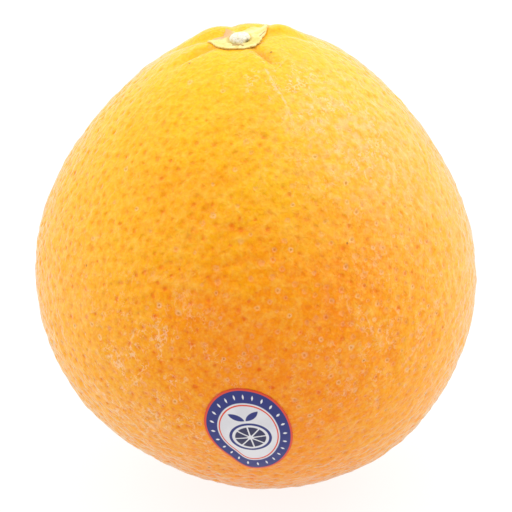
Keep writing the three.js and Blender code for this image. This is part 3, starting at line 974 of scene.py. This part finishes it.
def label_material():
    """A navy border of pale ticks, a thin red line, and a citrus wheel under two leaves."""
    sh = Shader("label")
    across, along, share = sh.parts(sh.attribute("label_place"))
    colour = sh.mix(sh.span(sh.noise(sh.place(), 4 * MM, 2.0), 0.3, 0.7), LABEL_WHITE, LABEL_GREY)

    turn = sh.math("ARCTAN2", sh.math("MULTIPLY", along, LABEL_HALF_WIDTH / LABEL_HALF_HEIGHT), across)
    border = sh.span(share, BORDER_START, BORDER_START + 0.02)
    colour = sh.mix(border, colour, LABEL_NAVY)
    beat = sh.math("ABSOLUTE", sh.math("SINE", sh.math("MULTIPLY", turn, LABEL_TICKS / 2)))
    ringward = sh.math("ABSOLUTE", sh.math("SUBTRACT", share, TICK_PLACE))
    spot = sh.math("ADD", sh.math("MULTIPLY", sh.math("SUBTRACT", 1.0, beat), 0.9), ringward)
    colour = sh.mix(sh.span(spot, 0.060, 0.035), colour, LABEL_WHITE)
    start, end = RED_LINE
    line = sh.math("MULTIPLY", sh.span(share, start, start + 0.01), sh.span(share, end, end - 0.01))
    colour = sh.mix(line, colour, LABEL_RED)
    colour = sh.mix(sh.span(share, RED_RIM, RED_RIM + 0.01), colour, LABEL_RED)

    middle = sh.math("SUBTRACT", along, WHEEL_MIDDLE)
    radius = sh.distance(sh.join(across, middle), (0, 0, 0))
    angle = sh.math("ARCTAN2", middle, across)
    spokes = sh.math("ABSOLUTE", sh.math("SINE", sh.math("MULTIPLY", angle, WHEEL_WEDGES / 2)))
    wedge = sh.span(sh.math("MULTIPLY", spokes, radius), 0.5, 0.62)
    wedge = sh.math("MULTIPLY", wedge, sh.span(radius, WEDGE_RADIUS, WEDGE_RADIUS - 0.1))
    colour = sh.mix(wedge, colour, LABEL_INK)
    start, end = WHEEL_RIM
    rim = sh.math("MULTIPLY", sh.span(radius, start, start + 0.1), sh.span(radius, end, end - 0.1))
    colour = sh.mix(rim, colour, LABEL_NAVY)
    for side in (-1, 1):
        discs = [sh.distance(sh.join(across, along), (side * out, up, 0)) for out, up in LEAF_DISCS]
        leaf = sh.math("MAXIMUM", *discs)
        colour = sh.mix(sh.span(leaf, LEAF_RADIUS, LEAF_RADIUS - 0.1), colour, LABEL_NAVY)
    return sh.surface(
        Base_Color=colour,
        Roughness=0.4,
        Normal=sh.bump(sh.noise(sh.place(), 2.2 * MM, 2.0), 0.12 * MM),
        Specular_IOR_Level=0.3,
    )


# ---- The studio -----------------------------------------------------------------------------

def make_floor():
    half = FLOOR_HALF
    corners = [(-half, -half, 0), (half, -half, 0), (half, half, 0), (-half, half, 0)]
    floor = new_mesh("floor", corners, [(0, 1, 2, 3)], smooth=False)
    floor.location.z = -0.02 * MM
    sh = Shader("floor")
    floor.data.materials.append(sh.surface(
        Base_Color=(FLOOR_WHITE, FLOOR_WHITE, FLOOR_WHITE, 1),
        Roughness=0.8,
        Emission_Color=(1, 1, 1, 1),
        Emission_Strength=FLOOR_GLOW,
    ))


def make_camera():
    camera = bpy.data.objects.new("camera", bpy.data.cameras.new("camera"))
    bpy.context.scene.collection.objects.link(camera)
    tilt = math.radians(CAMERA_ELEVATION)
    toward = Vector((0, -math.cos(tilt), math.sin(tilt)))
    rise = Vector((0, math.sin(tilt), math.cos(tilt)))
    camera.location = Vector(CENTRE) + rise * FRAME_RISE + toward * CAMERA_DISTANCE
    camera.rotation_euler = Euler((math.pi / 2 - tilt, 0, 0))
    camera.data.sensor_width = SENSOR_WIDTH
    camera.data.lens = SENSOR_WIDTH * CAMERA_DISTANCE / FRAME_WIDTH
    camera.data.clip_start = 0.01
    bpy.context.scene.camera = camera


def make_world():
    """A white tent, bright on both sides and above, dim in front, and between the two at the back."""
    world = bpy.data.worlds.new("tent")
    bpy.context.scene.world = world
    world.use_nodes = True
    tree = world.node_tree
    place = tree.nodes.new("ShaderNodeTexCoord").outputs["Generated"]
    lean = tree.nodes.new("ShaderNodeVectorMath")
    lean.operation = "DOT_PRODUCT"
    lean.inputs[1].default_value = TENT_SLOPE
    tree.links.new(place, lean.inputs[0])
    parts = tree.nodes.new("ShaderNodeSeparateXYZ")
    tree.links.new(place, parts.inputs[0])
    level = lean.outputs["Value"]
    for end, change in ((-1, TENT_FRONT - TENT_SIDE), (1, TENT_BACK - TENT_SIDE)):
        turn = tree.nodes.new("ShaderNodeMapRange")
        settings = {"From Min": 0, "From Max": end, "To Min": 0, "To Max": change}
        for name, value in settings.items():
            turn.inputs[name].default_value = value
        tree.links.new(parts.outputs["Y"], turn.inputs["Value"])
        total = tree.nodes.new("ShaderNodeMath")
        tree.links.new(level, total.inputs[0])
        tree.links.new(turn.outputs["Result"], total.inputs[1])
        level = total.outputs[0]
    total = tree.nodes.new("ShaderNodeMath")
    tree.links.new(level, total.inputs[0])
    total.inputs[1].default_value = TENT_SIDE
    background = tree.nodes["Background"]
    background.inputs["Color"].default_value = (1, 1, 1, 1)
    tree.links.new(total.outputs[0], background.inputs["Strength"])


# ---- Making it all --------------------------------------------------------------------------

def place_piece(piece, node, material):
    piece.data.materials.append(material)
    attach(piece, "root")
    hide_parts(node)


make_camera()
make_world()
make_floor()

place_piece(make_rind(), "rind", peel_material())
place_piece(make_calyx(), "calyx", calyx_material())
place_piece(swept("stalk_stump", stub_outline, STUB_SEGMENTS), "stem_stub", stump_material())
place_piece(make_label(), "sticker", label_material())

bpy.context.scene.view_settings.view_transform = "Standard"
